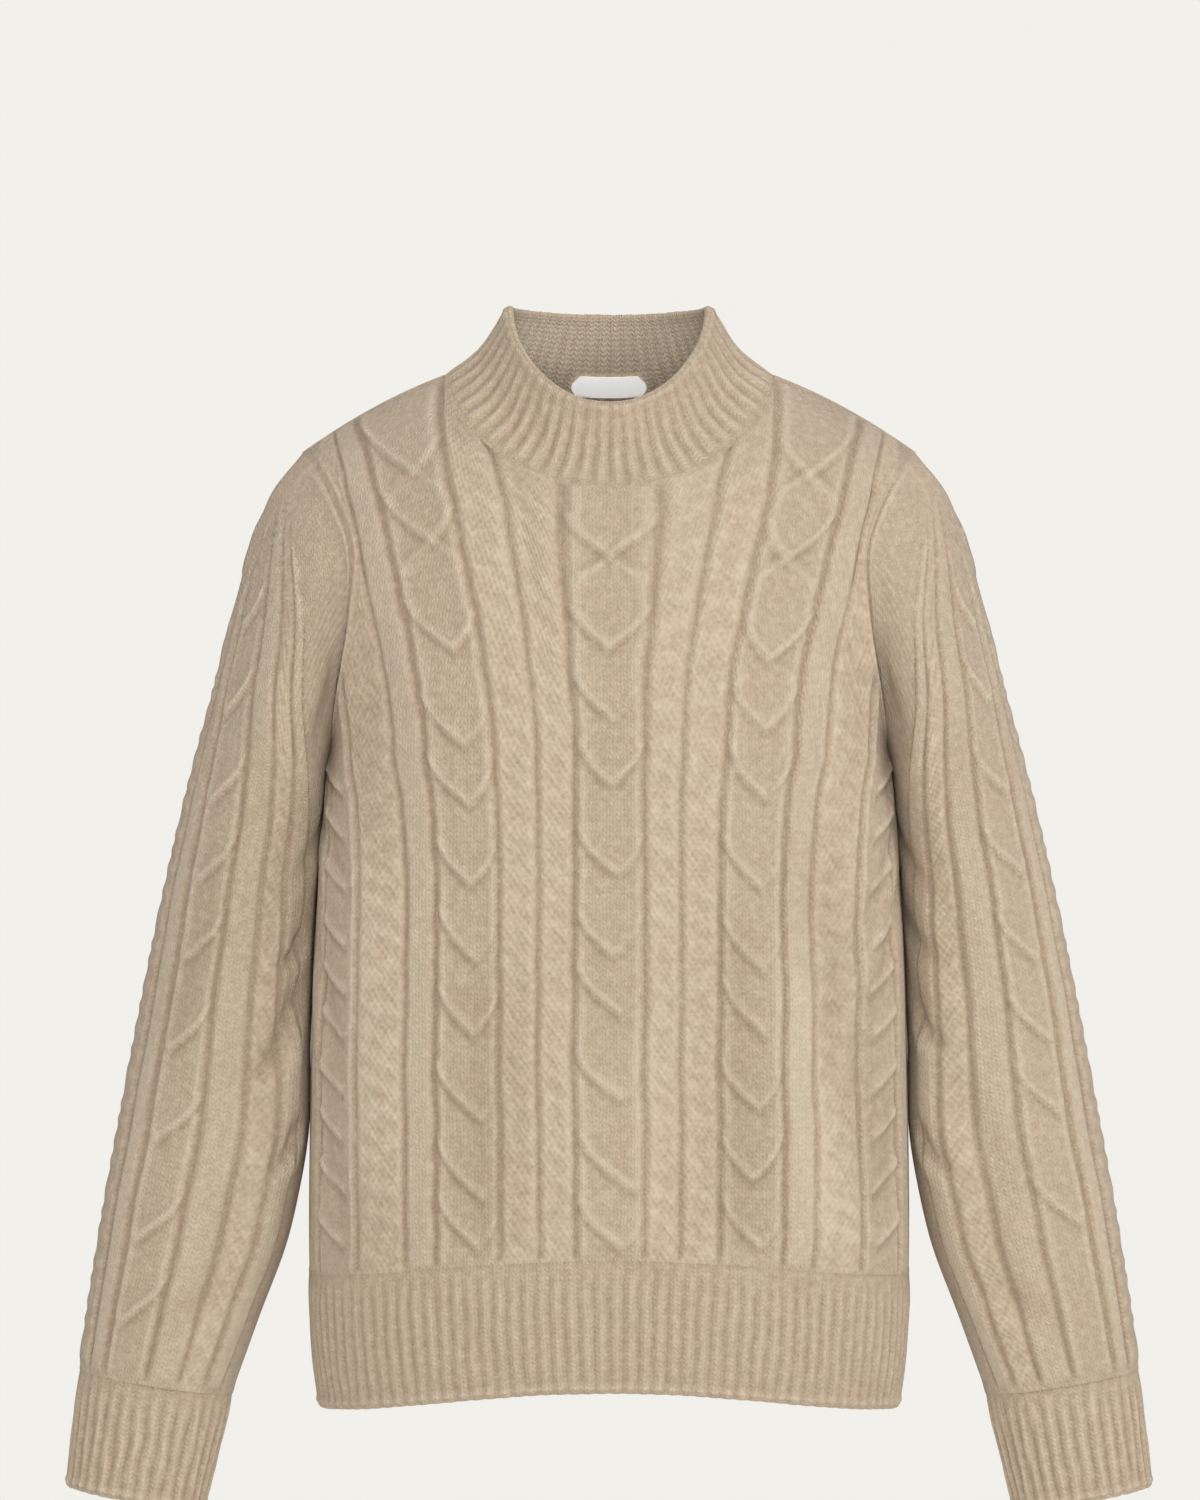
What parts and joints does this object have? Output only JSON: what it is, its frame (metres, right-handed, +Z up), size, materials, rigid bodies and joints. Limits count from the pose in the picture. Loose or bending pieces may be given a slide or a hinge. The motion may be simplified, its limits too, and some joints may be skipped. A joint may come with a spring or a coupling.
{
  "type": "cable knit sweater",
  "caption": "Long-sleeved pullover in cable knit with a ribbed mock neck, cuffs and hem, hollow and filled out as on a wearer.",
  "frame": {"origin": "middle of the neck opening, level with the points where the shoulder seams meet the collar", "axes": "+Z up along the body, front towards -Y, +X towards the wearer's left arm"},
  "size_m": [0.6704, 0.222, 0.7422],
  "materials": {
    "front": "soft wool knit, matt, cabled",
    "back": "soft wool knit, matt, cabled",
    "sleeve_left": "soft wool knit, matt, cabled",
    "sleeve_right": "soft wool knit, matt, cabled",
    "cuff_left": "soft wool rib, matt",
    "cuff_right": "soft wool rib, matt",
    "hem_rib": "soft wool rib, matt",
    "collar": "soft wool rib, matt",
    "neck_label": "blank woven tape, matt"
  },
  "bodies": {
    "root": {"front": "front", "back": "back", "sleeve_left": "sleeve_left", "sleeve_right": "sleeve_right", "cuff_left": "cuff_left", "cuff_right": "cuff_right", "hem_rib": "hem_rib", "collar": "collar", "neck_label": "neck_label"}
  },
  "joints": []
}
